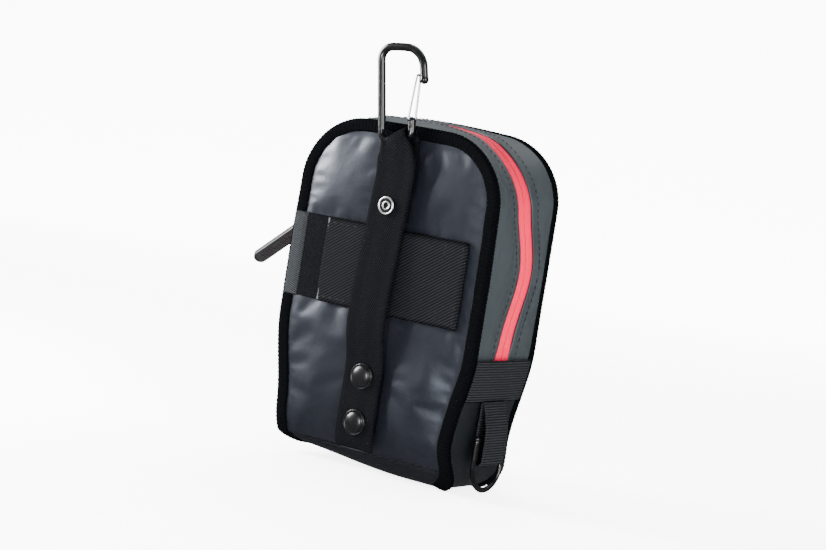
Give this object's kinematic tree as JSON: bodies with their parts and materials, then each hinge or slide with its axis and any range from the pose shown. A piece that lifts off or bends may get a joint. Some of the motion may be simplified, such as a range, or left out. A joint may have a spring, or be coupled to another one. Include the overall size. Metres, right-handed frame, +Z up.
{
  "type": "zip-round belt pouch",
  "caption": "Soft padded belt pouch with a zip round three sides, a snap-down belt strap, a hook-and-loop belt band, a carabiner at the top and a D-ring at the side.",
  "frame": {"origin": "centre of the base, on the surface it stands on", "axes": "+Z up, +X to the right seen from the belt side, -Y out of the belt side, +Y out of the front"},
  "size_m": [0.1919, 0.0786, 0.2486],
  "materials": {
    "coated_fabric": "satin",
    "gusset_fabric": "satin",
    "grosgrain": "ribbed",
    "webbing": "woven",
    "hook_tape": "matte",
    "loop_tape": "fuzzy",
    "foam": "matte",
    "lining": "matte",
    "zip_tape": "woven",
    "zip_coil": "satin",
    "zip_metal": "satin",
    "pull_rubber": "satin",
    "black_metal": "satin",
    "gate_wire": "polished",
    "snap_cap": "gloss",
    "snap_metal": "satin",
    "nickel": "polished"
  },
  "bodies": {
    "pouch": {"rear_panel": "coated_fabric", "base_panel": "coated_fabric", "front_panel_lower": "coated_fabric", "gusset_lower_right": "gusset_fabric", "gusset_lower_left": "gusset_fabric", "rear_zip_gusset": "gusset_fabric", "rear_binding": "grosgrain", "base_binding_right": "grosgrain", "base_binding_left": "grosgrain", "side_band_right": "webbing", "side_band_left": "webbing", "ring_loop": "webbing", "belt_band": "webbing", "strap_upper": "webbing", "strap_tail": "webbing", "loop_tape": "loop_tape", "rear_foam": "foam", "base_foam": "foam", "front_foam_lower": "foam", "rear_lining": "lining", "zip_tape_rear": "zip_tape", "zip_coil_rear": "zip_coil", "upper_snap_stud": "snap_metal", "lower_snap_stud": "snap_metal", "tail_snap_eyelet": "nickel", "tail_snap_socket": "nickel", "tail_snap_stud": "nickel"},
    "front_flap": {"front_panel_upper": "coated_fabric", "front_zip_gusset": "gusset_fabric", "front_binding_upper": "grosgrain", "front_foam_upper": "foam", "front_lining": "lining", "zip_tape_front": "zip_tape", "zip_coil_front": "zip_coil"},
    "slider": {"zip_slider": "zip_metal"},
    "pull": {"zip_pull_link": "zip_metal", "zip_pull_tab": "pull_rubber"},
    "ring": {"d_ring": "black_metal"},
    "carabiner": {"carabiner_body": "black_metal"},
    "gate": {"carabiner_gate": "gate_wire"},
    "strap_flap": {"strap_lower": "webbing", "upper_snap_cap": "snap_cap", "upper_snap_socket": "snap_metal", "lower_snap_cap": "snap_cap", "lower_snap_socket": "snap_metal"},
    "band_end": {"belt_band_end": "webbing", "hook_tape": "hook_tape"}
  },
  "joints": [
    {"name": "front_opening", "type": "hinge", "parent": "pouch", "child": "front_flap", "pos_m": [0, 0.0346, 0.08], "axis": [-1, 0, 0], "range_deg": [0, 50]},
    {"name": "zip_travel", "type": "slide", "parent": "pouch", "child": "slider", "axis": [0, 0, 1], "range_m": [-0.05, 0.016]},
    {"name": "pull_swing", "type": "hinge", "parent": "slider", "child": "pull", "pos_m": [-0.0712, 0, 0.143], "axis": [0, 1, 0], "range_deg": [-25, 100]},
    {"name": "ring_swing", "type": "hinge", "parent": "pouch", "child": "ring", "pos_m": [0.069, 0, 0.033], "axis": [0, -1, 0], "range_deg": [0, 140]},
    {"name": "carabiner_swing", "type": "hinge", "parent": "pouch", "child": "carabiner", "pos_m": [-0.002, -0.0385, 0.1935], "axis": [0.9816, 0, 0.1908], "range_deg": [-1, 104]},
    {"name": "gate_opening", "type": "hinge", "parent": "carabiner", "child": "gate", "pos_m": [0.00571, -0.0385, 0.2057], "axis": [0, -1, 0], "range_deg": [0, 30], "stiffness_Nm_per_rad": 0.01, "springref_deg": -11.46},
    {"name": "strap_unsnapping", "type": "hinge", "parent": "pouch", "child": "strap_flap", "pos_m": [0, -0.0446, 0.093], "axis": [-1, 0, 0], "range_deg": [0, 110]},
    {"name": "band_peeling", "type": "hinge", "parent": "pouch", "child": "band_end", "pos_m": [-0.0138, -0.0379, 0.118], "axis": [0, 0, 1], "range_deg": [0, 90]}
  ]
}
